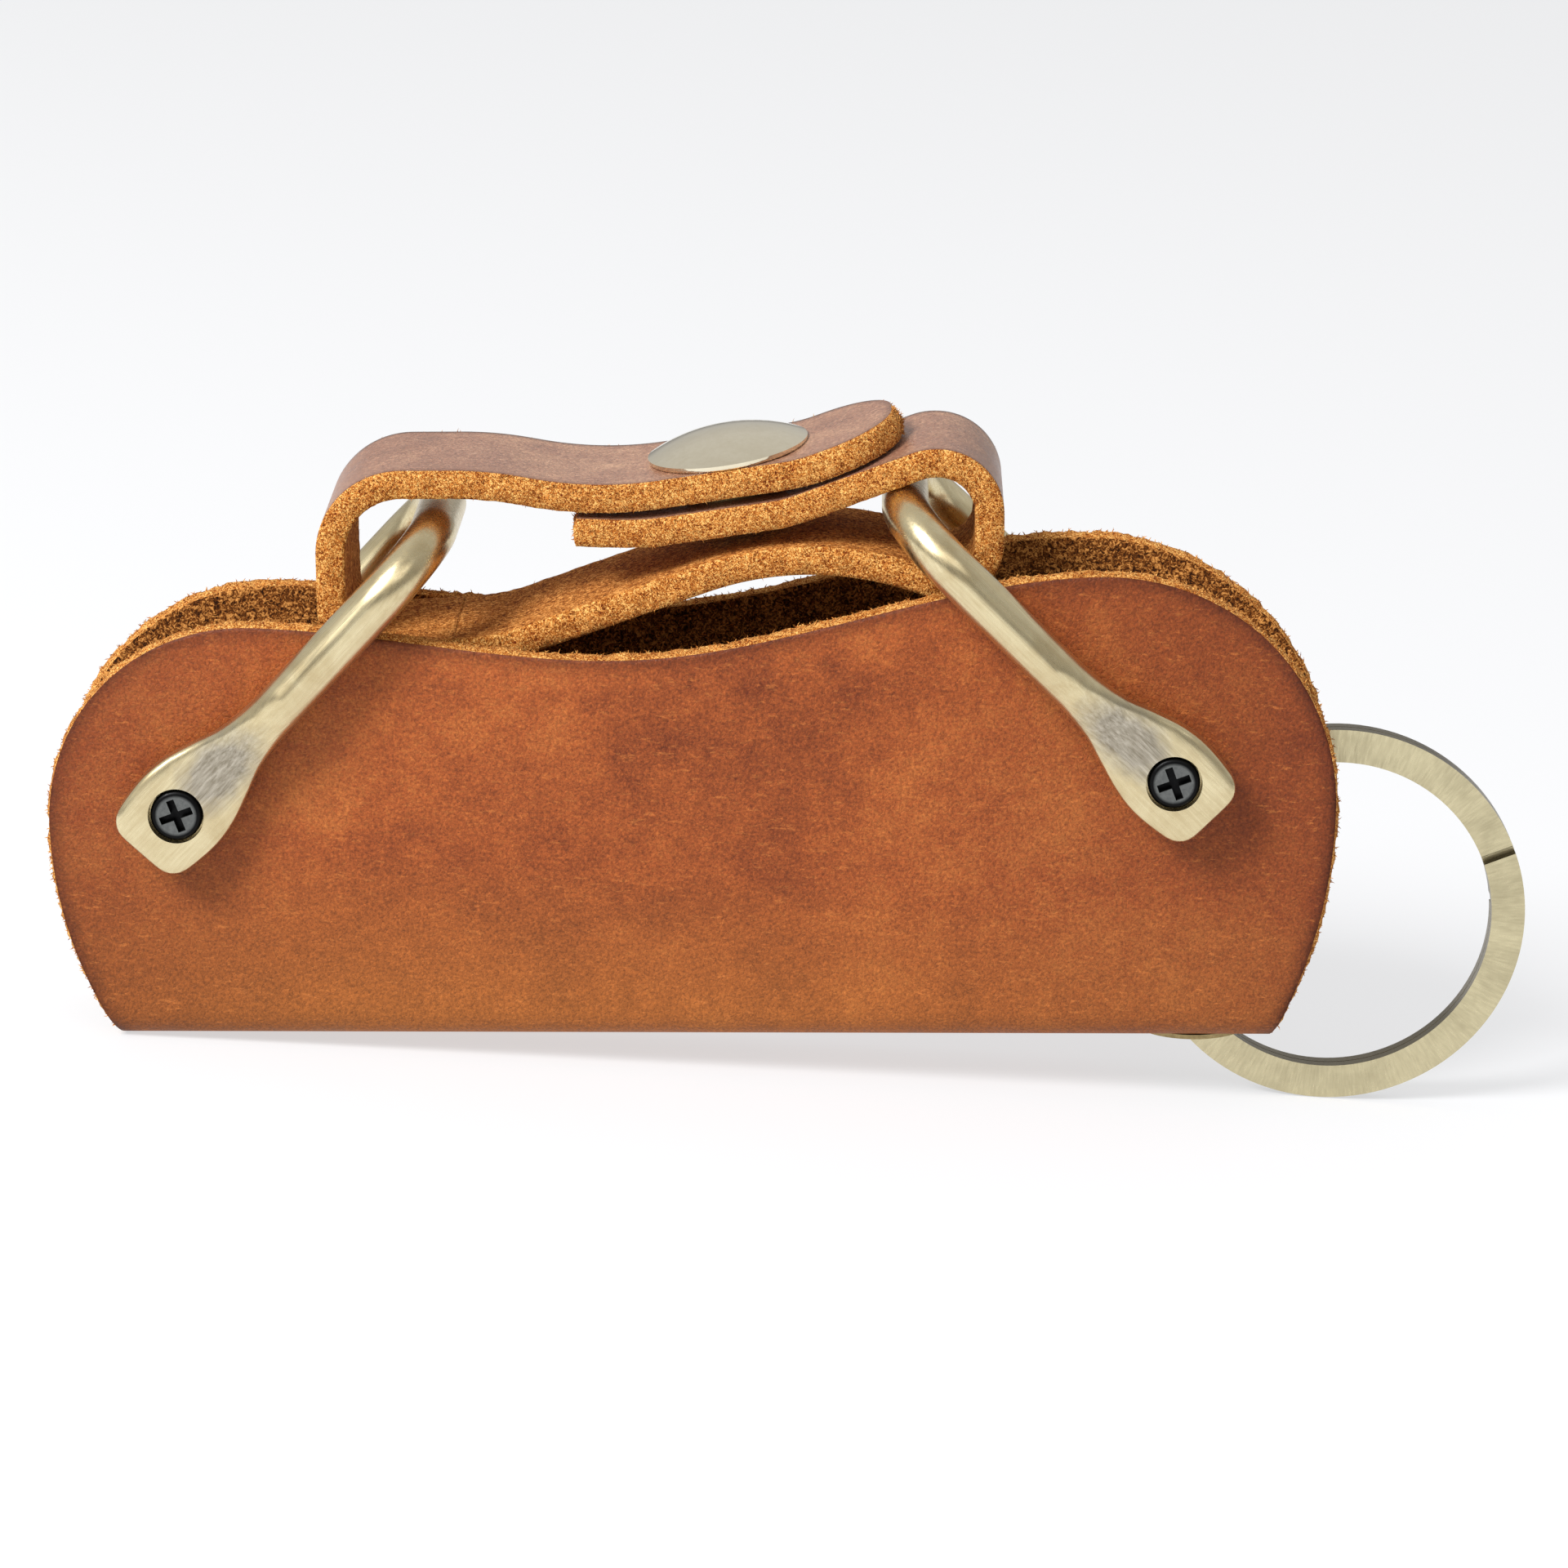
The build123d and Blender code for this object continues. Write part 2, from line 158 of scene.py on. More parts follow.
def colour(red, green, blue):
    """A colour from the 0 to 255 numbers of a paint chart, as the shader's linear values."""
    def linear(part):
        part /= 255
        return part / 12.92 if part <= 0.04045 else ((part + 0.055) / 1.055) ** 2.4
    return (linear(red), linear(green), linear(blue), 1)


def ramp(tree, value, *stops):
    """A colour for each value: stops are pairs of a position and a colour."""
    made = add(tree, "ValToRGB", {"Fac": value})
    elements = made.color_ramp.elements
    while len(elements) < len(stops):
        elements.new(0.5)
    for element, (position, shade) in zip(elements, stops):
        element.position, element.color = position, shade
    return made.outputs["Color"]


def mixed(tree, factor, first, second, how="MIX"):
    made = add(tree, "Mix", {"Factor": factor}, data_type="RGBA", blend_type=how)
    for index, value in ((6, first), (7, second)):
        if isinstance(value, bpy.types.NodeSocket):
            tree.links.new(value, made.inputs[index])
        else:
            made.inputs[index].default_value = value
    return made.outputs[2]


def sums(tree, how, *values):
    made = add(tree, "Math", operation=how)
    for index, value in enumerate(values):
        if isinstance(value, bpy.types.NodeSocket):
            tree.links.new(value, made.inputs[index])
        else:
            made.inputs[index].default_value = value
    return made.outputs[0]


def speckle(tree, where, size_mm, detail=3.0, rough=0.55, twist=0.0):
    """Noise whose lumps are about size_mm across."""
    made = add(tree, "TexNoise", {"Vector": where, "Scale": 1 / (size_mm * MM), "Detail": detail,
                                  "Roughness": rough, "Distortion": twist})
    return made.outputs[0]


def spread(tree, value, low, high, to_low=0.0, to_high=1.0):
    made = add(tree, "MapRange", {"Value": value, "From Min": low, "From Max": high,
                                  "To Min": to_low, "To Max": to_high})
    return made.outputs[0]


def blank(name):
    material = bpy.data.materials.new(name)
    material.use_nodes = True
    tree = material.node_tree
    return material, tree, tree.nodes["Principled BSDF"]


# %% Floor and light
FLOOR_SIZE = 3.0
floor_mesh = bpy.data.meshes.new("floor")
sheet = bmesh.new()
bmesh.ops.create_grid(sheet, x_segments=2, y_segments=2, size=FLOOR_SIZE / 2)
bmesh.ops.translate(sheet, verts=sheet.verts, vec=(0, 0, cad_box[0][2] - 0.00005))
sheet.to_mesh(floor_mesh)
sheet.free()
floor = bpy.data.objects.new("floor", floor_mesh)
bpy.context.scene.collection.objects.link(floor)
paper, tree, shader = blank("pale_paper")
shader.inputs["Base Color"].default_value = (0.32, 0.322, 0.328, 1)
shader.inputs["Emission Color"].default_value = (0.985, 0.99, 1.0, 1)
shader.inputs["Emission Strength"].default_value = 0.61
shader.inputs["Roughness"].default_value = 0.9
shader.inputs["Specular IOR Level"].default_value = 0.1
floor_mesh.materials.append(paper)

sky = bpy.data.worlds.new("soft_sky")
sky.use_nodes = True
tree = sky.node_tree
direction = add(tree, "TexCoord").outputs["Generated"]
_, depth, height = add(tree, "SeparateXYZ", {"Vector": direction}).outputs[:3]
glow = ramp(tree, spread(tree, height, -0.05, 0.9), (0.0, (0.34, 0.33, 0.32, 1)),
            (0.22, (0.84, 0.84, 0.84, 1)), (0.6, (1.0, 1.0, 1.01, 1)))
near_side = ramp(tree, spread(tree, depth, -0.9, 0.2), (0.0, (0.55, 0.54, 0.52, 1)),
                 (1.0, (1.0, 1.0, 1.0, 1)))
glow = mixed(tree, 1.0, glow, near_side, "MULTIPLY")
tree.links.new(glow, tree.nodes["Background"].inputs["Color"])
tree.nodes["Background"].inputs["Strength"].default_value = 0.62
bpy.context.scene.world = sky


def soft_lamp(name, spot, aim, size, power):
    lamp = bpy.data.lights.new(name, "AREA")
    lamp.shape, lamp.size, lamp.size_y, lamp.energy = "RECTANGLE", size[0], size[1], power
    made = bpy.data.objects.new(name, lamp)
    made.location = spot
    made.rotation_euler = (Vector(spot) - Vector(aim)).to_track_quat("Z", "Y").to_euler()
    bpy.context.scene.collection.objects.link(made)


soft_lamp("key_lamp", (-0.54, -0.56, 0.66), (0, 0, 0.02), (0.34, 0.34), 12.0)
soft_lamp("fill_lamp", (0.05, -0.72, 0.60), (0, 0, 0.02), (0.90, 0.36), 1.1)

# %% [markdown]
# ## Leather finishes
# Hide has two faces. The grain side is dyed and waxed: it is smooth, mottled where the wax lies, and
# paler where it was bent or rubbed. The cut edge and the flesh side show bare fibres, with painted
# golden highlights on their tips and painted dark red-brown shade in the gaps. The edge_near attribute,
# which each leather mesh carries, is 1 at the cut and fades to 0 inside, and darkens the grain like a
# burnished edge.

# %% Leather materials


def object_place(tree):
    return add(tree, "TexCoord").outputs["Object"]


def grey_of(tree, value):
    return add(tree, "CombineColor", {"Red": value, "Green": value, "Blue": value}).outputs[0]


def grain_leather(name, deep, middle, pale, low_tint, roughness, gloss):
    """Waxed grain: clouds, blotches and pores of three dyes, and low_tint towards the fold."""
    material, tree, shader = blank(name)
    where = object_place(tree)
    clouds = speckle(tree, where, 24, 2, 0.5, 0.6)
    blotches = speckle(tree, where, 3.2, 6, 0.72, 0.2)
    pores = speckle(tree, where, 0.26, 3, 0.7)
    creases = add(tree, "TexVoronoi", {"Vector": where, "Scale": 1 / (0.5 * MM), "Randomness": 1.0},
                  feature="DISTANCE_TO_EDGE").outputs["Distance"]
    tone = sums(tree, "ADD", sums(tree, "MULTIPLY", clouds, 0.36), sums(tree, "MULTIPLY", blotches, 0.32))
    tone = sums(tree, "ADD", tone, sums(tree, "MULTIPLY", pores, 0.32))
    dye_and_shade = ramp(tree, tone, (0.34, deep), (0.5, middle), (0.66, pale))
    along, _, depth = add(tree, "SeparateXYZ", {"Vector": where}).outputs[:3]
    dye_and_shade = mixed(tree, spread(tree, depth, 17 * MM, 1 * MM, 0.0, 0.7), dye_and_shade, low_tint)
    # darker towards the right end
    dye_and_shade = mixed(tree, spread(tree, along, 8 * MM, 44 * MM, 0.0, 0.62), dye_and_shade, deep)
    # painted shade: darker towards the far left end, which evens out the lamp on the left
    dye_and_shade = mixed(tree, spread(tree, along, -34 * MM, -56 * MM, 0.0, 0.55), dye_and_shade, deep)
    rubs = add(tree, "Mapping", {"Vector": where, "Rotation": (0, 0.5, 0), "Scale": (0.25, 1, 1)})
    rubbed = spread(tree, speckle(tree, rubs.outputs[0], 0.34, 4, 0.75), 0.58, 0.66, 0.0, 0.5)
    dye_and_shade = mixed(tree, rubbed, dye_and_shade, pale)
    grit = spread(tree, speckle(tree, where, 0.22, 2, 0.85), 0.32, 0.68, 0.66, 1.32)
    dye_and_shade = mixed(tree, 1.0, dye_and_shade, grey_of(tree, grit), "MULTIPLY")
    edge = add(tree, "Attribute", attribute_name="edge_near").outputs["Fac"]
    burnt = sums(tree, "MULTIPLY", edge, spread(tree, blotches, 0.35, 0.65, 0.45, 0.85))
    tree.links.new(mixed(tree, burnt, dye_and_shade, deep, "MULTIPLY"), shader.inputs["Base Color"])
    tree.links.new(spread(tree, blotches, 0.3, 0.7, roughness - 0.07, roughness + 0.1),
                   shader.inputs["Roughness"])
    shader.inputs["Specular IOR Level"].default_value = gloss
    surface = sums(tree, "ADD", sums(tree, "MULTIPLY", pores, 0.7),
                   sums(tree, "MULTIPLY", spread(tree, creases, 0.0, 0.12), 0.45))
    bump = add(tree, "Bump", {"Strength": 0.4, "Distance": 0.00012, "Height": surface})
    tree.links.new(bump.outputs["Normal"], shader.inputs["Normal"])
    return material


def bare_fibre(name, gap_shade, body, tip_highlight, size_mm, softness):
    """Bare fibres: painted shade in the gaps, a body colour and painted highlights on the tips. A small
    softness parts them sharply.
    """
    material, tree, shader = blank(name)
    where = object_place(tree)
    fibres = speckle(tree, where, size_mm, 2, 0.7, 1.2)
    clumps = speckle(tree, where, size_mm * 6, 3, 0.6, 0.6)
    tone = sums(tree, "ADD", sums(tree, "MULTIPLY", fibres, 0.82), sums(tree, "MULTIPLY", clumps, 0.18))
    # painted light: the ramp runs from painted shade in the gaps, through the body colour, to painted
    # highlights on the tips
    shade = ramp(tree, tone, (0.5 - softness, gap_shade), (0.5, body), (0.5 + softness, tip_highlight))
    tree.links.new(shade, shader.inputs["Base Color"])
    shader.inputs["Roughness"].default_value = 0.92
    shader.inputs["Specular IOR Level"].default_value = 0.15
    shader.inputs["Sheen Weight"].default_value = 0.08
    shader.inputs["Sheen Roughness"].default_value = 0.6
    shader.inputs["Sheen Tint"].default_value = tip_highlight
    bump = add(tree, "Bump", {"Strength": 0.9, "Distance": 0.00022, "Height": tone})
    tree.links.new(bump.outputs["Normal"], shader.inputs["Normal"])
    return material


cover_grain = grain_leather("cover_grain", colour(98, 40, 15), colour(153, 77, 33),
                            colour(186, 110, 52), colour(156, 95, 38), 0.54, 0.26)
strap_grain = grain_leather("strap_grain", colour(112, 72, 52), colour(150, 106, 84),
                            colour(200, 158, 126), colour(150, 106, 84), 0.32, 0.66)
# each fibre finish lists a painted shade for the gaps, a body colour and a painted highlight for the tips
cut_edge = bare_fibre("cut_edge", colour(104, 36, 8), colour(206, 124, 46),
                      colour(255, 204, 122), 0.15, 0.10)
cover_flesh = bare_fibre("cover_flesh", colour(38, 16, 4), colour(124, 68, 22),
                         colour(224, 156, 82), 0.30, 0.11)
strap_flesh = bare_fibre("strap_flesh", colour(92, 40, 10), colour(180, 106, 40),
                         colour(240, 176, 98), 0.28, 0.12)
HIDE = {"cover": (cover_grain, cover_flesh, cut_edge), "strap": (strap_grain, strap_flesh, cut_edge)}
print("leather finishes:", [m.name for m in (cover_grain, strap_grain, cut_edge, cover_flesh)])

# %% [markdown]
# ## From a sheet to a piece of hide
# Both leather parts start as one thin sheet that already has its bends. The sheet is extruded along
# its own normals into a slab, so it keeps the grain side, and the walls that this leaves round its
# outline are the cut. They are divided into narrow strips, crowned, roughened and given loose
# fibres. Extruding keeps the three surfaces apart, so each can have its own finish.

# %% Thicken a sheet
GRAIN, FLESH, CUT = 0, 1, 2
CUT_STRIPS = 5


def thicken(sheet, thickness_mm, seed):
    """Turn the bent sheet, grain side out, into a slab with a rough cut edge."""
    sheet.normal_update()
    outward = sheet.verts.layers.float_vector.new("outward")
    side = sheet.verts.layers.int.new("side")
    depth = sheet.verts.layers.float.new("depth")
    for vert in sheet.verts:
        vert[outward] = vert.normal
    grain_faces = sheet.faces[:]
    sheet_parts = sheet.verts[:] + sheet.edges[:] + grain_faces
    made = bmesh.ops.extrude_face_region(sheet, geom=sheet_parts, use_keep_orig=True)["geom"]
    for part in made:
        if isinstance(part, bmesh.types.BMVert):
            part[side] = 1
            ripple = noise.noise(part.co / (0.5 * MM)) * 0.05
            part.co -= part[outward] * (thickness_mm + ripple) * MM
    across = [e for e in sheet.edges if e.verts[0][side] != e.verts[1][side]]
    split = bmesh.ops.subdivide_edges(sheet, edges=across, cuts=CUT_STRIPS, use_grid_fill=True)
    middle = {part for part in split["geom_inner"] if isinstance(part, bmesh.types.BMVert)}
    bmesh.ops.recalc_face_normals(sheet, faces=sheet.faces)
    sheet.normal_update()
    for face in sheet.faces:
        face.smooth = True
        if any(vert in middle for vert in face.verts):
            face.material_index = CUT
        else:
            face.material_index = FLESH if face.verts[0][side] else GRAIN
    offset = Vector((seed, 0, 0))
    for vert in middle:
        rough = noise.noise(vert.co / (0.42 * MM) + offset) * 0.22
        rough += noise.noise(vert.co / (1.6 * MM) + offset) * 0.16
        inner = all(edge.other_vert(vert) in middle for edge in vert.link_edges)
        crown = 0.22 if inner else 0.10
        vert[depth] = crown + rough
    for vert in middle:
        vert.co += vert.normal * vert[depth] * MM
    return [face for face in sheet.faces if face.material_index == CUT]


def add_fibres(sheet, cut_faces, count, seed, length_mm=(0.12, 0.42), radius_mm=0.05):
    """Loose fibres on the cut edge: thin bent spikes with three sides."""
    dice = random.Random(seed)
    roots = [(face.calc_center_median(), face.normal.copy()) for face in cut_faces]
    # the walls come in a different order each run, so their places decide the order of the draws
    roots.sort(key=lambda root: ([round(c, 5) for c in root[0]], root[0][:]))
    for _ in range(count):
        root, out = dice.choice(roots)
        stray = Vector((dice.uniform(-1, 1), dice.uniform(-1, 1), dice.uniform(-1, 1)))
        way = (out + stray * 1.1).normalized()
        bend = way.cross(stray).normalized() * dice.uniform(0.0, 0.8)
        length = dice.uniform(*length_mm) * MM
        side_way = way.orthogonal().normalized()
        other_way = way.cross(side_way)
        rings = []
        for along, radius in ((-0.15, 1.0), (0.5, 0.8)):
            spot = root + (way * along + bend * along * along) * length
            corners = [side_way * math.cos(turn) + other_way * math.sin(turn)
                       for turn in (0, math.tau / 3, 2 * math.tau / 3)]
            rings.append([sheet.verts.new(spot + c * radius * radius_mm * MM) for c in corners])
        tip = sheet.verts.new(root + (way + bend) * length)
        faces = [sheet.faces.new(rings[0][::-1])]
        for k in range(3):
            n = (k + 1) % 3
            faces.append(sheet.faces.new((rings[0][k], rings[0][n], rings[1][n], rings[1][k])))
            faces.append(sheet.faces.new((rings[1][k], rings[1][n], tip)))
        for face in faces:
            face.material_index = CUT


def finish_leather(sheet, name, finishes, edge_near):
    """Make the object, with its three finishes and the edge_near attribute."""
    mesh = bpy.data.meshes.new(name)
    sheet.to_mesh(mesh)
    sheet.free()
    for material in finishes:
        mesh.materials.append(material)
    nearness = mesh.attributes.new("edge_near", "FLOAT", "POINT")
    nearness.data.foreach_set("value", [edge_near(v.co) for v in mesh.vertices])
    made = bpy.data.objects.new(name, mesh)
    bpy.context.scene.collection.objects.link(made)
    print(name, "has", len(mesh.polygons), "faces")
    return made


# %% [markdown]
# ## The cover
# The cover is one piece of hide folded round the keys. Its fold has a flat floor and two tight
# corners, and its two flaps share an outline with a round lobe round each post and a dip between
# them. A grid is pulled over one flap by its four sides, which keeps its rows and columns smooth
# right up to the curved outline, and the same grid runs over the fold to the other flap.

# %% Outline of a flap
FOLD_LENGTH = 89.4
FOLD_HALF = 6.2
FOLD_CORNER = 2.3
MOUTH_BULGE, BULGE_REACH, BULGE_HEIGHT, BULGE_MIDDLE = 2.9, 47.0, 31.0, 42.0
LEFT_LOBE, LEFT_LOBE_RADIUS = Vector((11.0, 17.4)), 16.0
RIGHT_LOBE, RIGHT_LOBE_RADIUS = Vector((75.7, 19.0)), 18.4
DIP = Vector((41.5, 31.3))
COVER_THICKNESS = 1.8


def arc(middle, radius, start, stop, steps=40):
    """Points on an arc, from one angle in degrees to another."""
    angles = [math.radians(start + (stop - start) * k / steps) for k in range(steps + 1)]
    return [middle + radius * Vector((math.cos(a), math.sin(a))) for a in angles]


def flank(corner, lobe, lobe_radius, way):
    """The side of a flap: an arc that leaves the fold's corner and runs upright into the lobe."""
    reach, rise = abs(lobe.x + way * lobe_radius - corner.x), lobe.y
    radius = (reach ** 2 + rise ** 2) / (2 * reach)
    middle = Vector((lobe.x + way * (lobe_radius - radius), rise))
    dip_angle = math.degrees(math.asin(rise / radius))
    low = arc(middle, radius, -dip_angle, 0) if way > 0 else arc(middle, radius, 180 + dip_angle, 180)
    high = arc(lobe, lobe_radius, 0, 45) if way > 0 else arc(lobe, lobe_radius, 180, 135)
    return low + high[1:]


def top_line():
    """The top of a flap: half of each lobe's shoulder, with the dip between them."""
    left_top = LEFT_LOBE + Vector((0, LEFT_LOBE_RADIUS))
    right_top = RIGHT_LOBE + Vector((0, RIGHT_LOBE_RADIUS))
    first, second = DIP - left_top, right_top - DIP
    slope = 1.5 * (first.y / first.x ** 2 + second.y / second.x ** 2) / (1 / first.x + 1 / second.x)

    def bend(start, run, slope_in, slope_out):
        points = []
        for k in range(1, 41):
            t = k / 40
            drop = run.y * (3 * t * t - 2 * t ** 3)
            drop += run.x * (slope_in * (t ** 3 - 2 * t * t + t) + slope_out * (t ** 3 - t * t))
            points.append(start + Vector((run.x * t, drop)))
        return points

    shoulder = arc(LEFT_LOBE, LEFT_LOBE_RADIUS, 135, 90)
    valley = bend(left_top, first, 0, slope) + bend(DIP, second, slope, 0)
    return shoulder + valley + arc(RIGHT_LOBE, RIGHT_LOBE_RADIUS, 90, 45)[1:]


def walker(points):
    """A function that gives the point at a share, 0 to 1, of a line's length."""
    marks = [0.0]
    for a, b in zip(points, points[1:]):
        marks.append(marks[-1] + (b - a).length)

    def at(share):
        goal = share * marks[-1]
        k = next((i for i in range(1, len(marks) - 1) if marks[i] >= goal), len(marks) - 1)
        part = (goal - marks[k - 1]) / (marks[k] - marks[k - 1])
        return points[k - 1].lerp(points[k], part)

    return at


left_side = walker(flank(Vector((0, 0)), LEFT_LOBE, LEFT_LOBE_RADIUS, -1))
right_side = walker(flank(Vector((FOLD_LENGTH, 0)), RIGHT_LOBE, RIGHT_LOBE_RADIUS, 1))
top_side = walker(top_line())
print("flap corners:", [tuple(round(c, 1) for c in side(1)) for side in (left_side, right_side)])

# %% Pull a grid over the flaps
COLUMNS, WALL_ROWS, CORNER_ROWS, FLOOR_ROWS = 190, 70, 8, 8
FLAP_HEIGHT = 33.0
EYELET = centre("eyelet")
EYELET_CUT = 3.3


def on_flap(a, b):
    """The flap's point at column share a and height share b, from its four sides."""
    low, high = Vector((FOLD_LENGTH * a, 0)), top_side(a)
    left, rightmost = left_side(b), right_side(b)
    corners = (1 - a) * (1 - b) * left_side(0) + a * (1 - b) * right_side(0)
    corners += (1 - a) * b * left_side(1) + a * b * right_side(1)
    return (1 - b) * low + b * high + (1 - a) * left + a * rightmost - corners


def half_thickness(u, v):
    """Half of the closed cover's thickness, which swells towards the middle of its mouth."""
    rise = min(1.0, v / BULGE_HEIGHT)
    along = max(0.0, 1 - ((u - BULGE_MIDDLE) / BULGE_REACH) ** 2)
    return FOLD_HALF + MOUTH_BULGE * (3 * rise ** 2 - 2 * rise ** 3) * along


def cover_point(column, row):
    """Where a grid point goes: rows count from the middle of the fold, the front flap's upwards."""
    step = abs(row)
    if step <= FLOOR_ROWS:
        u, v = on_flap(column, 0)
        y = (FOLD_HALF - FOLD_CORNER) * step / FLOOR_ROWS
    else:
        turn = min(1.0, (step - FLOOR_ROWS) / CORNER_ROWS) * math.pi / 2
        share = FOLD_CORNER * (1 - math.cos(turn)) / FLAP_HEIGHT
        climb = max(0, step - FLOOR_ROWS - CORNER_ROWS) / WALL_ROWS
        u, v = on_flap(column, share + (1 - share) * climb)
        lift = min(v, FOLD_CORNER)
        round_off = math.sqrt(FOLD_CORNER ** 2 - (FOLD_CORNER - lift) ** 2) - FOLD_CORNER
        y = half_thickness(u, v) + round_off
    return place(u, -y if row > 0 else y, v)


rows = FLOOR_ROWS + CORNER_ROWS + WALL_ROWS
hide = bmesh.new()
bmesh.ops.create_grid(hide, x_segments=COLUMNS, y_segments=2 * rows, size=0.5)
for vert in hide.verts:
    vert.co = cover_point(vert.co.x + 0.5, round(vert.co.y * 2 * rows))
hide.normal_update()
front_face = min(hide.faces, key=lambda f: f.calc_center_median().y)
if front_face.normal.y > 0:
    bmesh.ops.reverse_faces(hide, faces=hide.faces)


def beside_eyelet(face):
    spot = face.calc_center_median() - EYELET
    return math.hypot(spot.x, spot.y) < EYELET_CUT * MM and spot.z < 4 * MM


bmesh.ops.delete(hide, geom=[f for f in hide.faces if beside_eyelet(f)], context="FACES")
outline = [v.co.copy() for v in hide.verts if v.is_boundary]
print("the cover's sheet has", len(hide.faces), "faces and", len(outline), "outline points")

# %% Make the cover
LOOSE_FIBRES = 2600
COVER_EDGE_REACH, STRAP_EDGE_REACH = 1.6, 0.9


def nearness_to(points, reach_mm):
    """A function that is 1 beside the given points and fades to 0 at the reach."""
    tree = kdtree.KDTree(len(points))
    for index, point in enumerate(points):
        tree.insert(point, index)
    tree.balance()
    return lambda spot: max(0.0, 1 - tree.find(spot)[2] / (reach_mm * MM)) ** 1.5


cuts = thicken(hide, COVER_THICKNESS, seed=3)
add_fibres(hide, cuts, LOOSE_FIBRES, seed=11)
cover = finish_leather(hide, "folded_cover", HIDE["cover"], nearness_to(outline, COVER_EDGE_REACH))
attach(cover, "cover")
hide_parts("leather_cover")

# %% [markdown]
# ## The strap
# The strap is one band of thick hide. Its tail lies under the tab, then the band goes over the right
# bow's bar, dives into the cover's mouth, comes up round the left bow's bar and ends in the tab that
# snaps onto the tail. A centre line of straight runs and round bends gives its side view, and a grid
# is laid along it. The tab opens, so the band is cut in two inside the mouth, where no one looks: the
# piece with the tab is made on its own, and the other is attached to the strap.

# %% Centre line of the strap
STRAP_WIDTH, STRAP_THICKNESS = 12.0, 2.2
STRAP_LEAN = math.radians(2.5)
TAB_TIP = 5.4
LEFT_BAR, RIGHT_BAR = Vector((25.01, 40.24)), Vector((60.98, 42.20))


def strap_corners():
    """Corners of the centre line, each with the radius of its bend; the ends have none."""
    (lx, lz), (rx, rz) = LEFT_BAR, RIGHT_BAR
    return [
        ((36.0, lz + 0.5), 0), ((41.0, lz + 0.35), 22), ((52.0, lz + 2.0), 12),
        ((rx + 1.6, rz + 4.0), 4), ((rx + 6.4, rz + 3.9), 4.0), ((rx + 6.4, rz - 6.9), 3.3),
        ((53.5, lz - 0.3), 24), ((lx + 4.6, lz - 8.9), 17), ((lx - 7.8, lz - 9.6), 3.6),
        ((lx - 7.8, lz + 4.2), 5.6), ((lx + 4.0, lz + 4.25), 28), ((37.6, lz + 2.75), 30),
        ((53.0, lz + 5.1), 14), ((rx - 0.7, rz + 5.8), 0),
    ]


def bent_line(corners, step=0.25):
    """Points along straight runs whose corners are rounded to their radii."""
    spots = [Vector(spot) for spot, _ in corners]
    points = [spots[0]]
    for before, here, after, (_, radius) in zip(spots, spots[1:], spots[2:], corners[1:]):
        into, out = (here - before).normalized(), (after - here).normalized()
        turn = into.angle_signed(out)
        cut = radius * math.tan(abs(turn) / 2)
        start = here - into * cut
        middle = start + Vector((into.y, -into.x)) * radius * (1 if turn > 0 else -1)
        count = max(2, round(radius * abs(turn) / step))
        for k in range(count + 1):
            arm = start - middle
            arm.rotate(Matrix.Rotation(-turn * k / count, 2))
            points.append(middle + arm)
    points.append(spots[-1])
    return points


strap_line = bent_line(strap_corners())
strap_length = sum((b - a).length for a, b in zip(strap_line, strap_line[1:]))
strap_at = walker(strap_line)
print("the strap is", round(strap_length, 1), "mm long")

# %% Lay the strap's grid
ACROSS = 26
SLOPE_STEP = 0.4


def lean_forward(u, y, v):
    """The strap leans to the front about a line along its middle."""
    middle = LEFT_BAR.y - 3
    rise = v - middle
    return (u, y * math.cos(STRAP_LEAN) - rise * math.sin(STRAP_LEAN),
            middle + y * math.sin(STRAP_LEAN) + rise * math.cos(STRAP_LEAN))


def half_width(left_to_tip):
    """Half of the strap's width, which rounds off at the tab's tip."""
    short = TAB_TIP - min(TAB_TIP, max(0.0, left_to_tip))
    return STRAP_WIDTH / 2 - TAB_TIP + math.sqrt(max(0.0, TAB_TIP ** 2 - short ** 2))


def strap_sheet(start, stop, per_mm=3.2):
    """The grain side of the strap between two lengths along it, as a bent sheet."""
    count = round((stop - start) * per_mm)
    sheet = bmesh.new()
    bmesh.ops.create_grid(sheet, x_segments=count, y_segments=ACROSS, size=0.5)
    for vert in sheet.verts:
        along = start + (stop - start) * (vert.co.x + 0.5)
        left_to_tip = strap_length - along
        if left_to_tip < TAB_TIP:
            share = 1 - left_to_tip / TAB_TIP
            left_to_tip = TAB_TIP * (1 - math.sin(share * math.pi / 2))
            along = strap_length - left_to_tip
        here = strap_at(along / strap_length)
        ahead = strap_at(min(1, (along + SLOPE_STEP) / strap_length))
        behind = strap_at(max(0, (along - SLOPE_STEP) / strap_length))
        way = (ahead - behind).normalized()
        skin = here + Vector((-way.y, way.x)) * STRAP_THICKNESS / 2
        side = vert.co.y * 2 * half_width(left_to_tip)
        vert.co = place(*lean_forward(skin.x, side, skin.y))
    bmesh.ops.recalc_face_normals(sheet, faces=sheet.faces)
    return sheet


